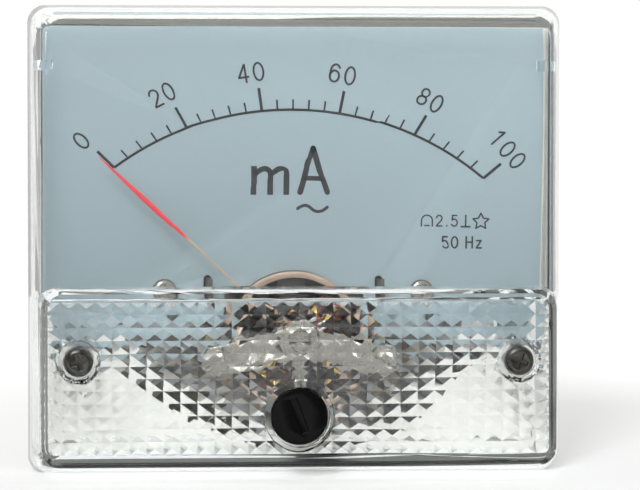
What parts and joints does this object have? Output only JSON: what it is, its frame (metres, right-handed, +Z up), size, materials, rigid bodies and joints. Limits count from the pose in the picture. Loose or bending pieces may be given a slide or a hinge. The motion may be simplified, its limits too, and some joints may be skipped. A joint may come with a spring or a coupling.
{
  "type": "analog panel meter",
  "caption": "Rectangular panel meter with a clear stepped cover, printed dial, red pointer and zero adjuster on a round-bodied housing.",
  "frame": {"origin": "centre of the flange's rear face, where the panel's front face lies", "axes": "front faces -Y, +Z up, +X to the right as seen from the front; the round body points along +Y"},
  "size_m": [0.064, 0.057, 0.056],
  "materials": {
    "white_housing": "satin moulded white plastic",
    "clear_cover": "clear polished plastic",
    "dark_screws": "dark nickel",
    "black_gloss": "gloss black",
    "dial_face": "matt blue-grey paint",
    "dial_print": "black print",
    "nickel": "nickel plate",
    "die_cast": "as cast",
    "steel": "plain steel",
    "dark_steel": "darkened steel",
    "dark_cast": "dark as-cast zinc",
    "soft_iron": "turned soft iron",
    "magnet": "ground magnet alloy",
    "brass": "turned brass",
    "jewel": "ruby",
    "bronze": "spring bronze",
    "fibre": "vulcanised fibre",
    "bright_aluminium": "bright",
    "enamel_copper": "enamelled copper wire",
    "pointer_red": "red lacquer on the lance, bare beam",
    "board": "phenolic board",
    "black_body": "moulded black",
    "resistor_body": "lacquer",
    "wire_red": "insulated wire",
    "tinned": "tinned brass",
    "zinc_steel": "zinc plate"
  },
  "bodies": {
    "housing": {"base_housing": "white_housing", "front_cover": "clear_cover", "cover_screws": "dark_screws", "dial_plate": "dial_face", "scale_marks": "dial_print", "dial_screws": "nickel", "movement_plate": "die_cast", "movement_screws": "nickel", "pointer_stops": "dark_steel", "yoke_ring": "soft_iron", "core_magnet": "magnet", "core_carriers": "dark_cast", "bridge_pillars": "brass", "front_bridge": "nickel", "rear_bridge": "nickel", "bridge_screws": "nickel", "front_jewel_screw": "nickel", "rear_jewel_screw": "nickel", "jewels": "jewel", "jewel_lock_nuts": "nickel", "rear_hairspring": "bronze", "rear_spring_tab": "brass", "tab_insulator": "fibre", "circuit_board": "board", "rectifier_diodes": "black_body", "resistors": "resistor_body", "board_nuts": "brass", "lead_wires": "wire_red", "terminal_studs": "brass", "flat_washers": "brass", "spring_washers": "steel", "terminal_nuts": "brass", "solder_lugs": "tinned", "mounting_studs": "zinc_steel"},
    "adjuster": {"zero_adjuster": "black_gloss"},
    "lever": {"zero_lever": "nickel", "front_hairspring": "bronze"},
    "moving_coil": {"coil_former": "bright_aluminium", "coil_winding": "enamel_copper", "front_pivot": "steel", "rear_pivot": "steel", "pointer_hub": "bright_aluminium", "pointer": "pointer_red", "balance_weights": "brass"}
  },
  "joints": [
    {"name": "adjuster_turn", "type": "hinge", "parent": "housing", "child": "adjuster", "pos_m": [0, -0.011, -0.0207], "axis": [0, 1, 0], "range_deg": [-20, 20]},
    {"name": "lever_swing", "type": "hinge", "parent": "housing", "child": "lever", "pos_m": [0, -0.0085, -0.012], "axis": [0, 1, 0], "range_deg": [-3.3, 3.3]},
    {"name": "pointer_deflection", "type": "hinge", "parent": "lever", "child": "moving_coil", "pos_m": [0, 0, -0.012], "axis": [0, 1, 0], "range_deg": [-1.5, 96], "stiffness_Nm_per_rad": 0.0002, "deforming": ["front_hairspring", "rear_hairspring"]}
  ],
  "couplings": [
    {"joint": "lever_swing", "follows": "adjuster_turn", "ratio": -0.157}
  ]
}
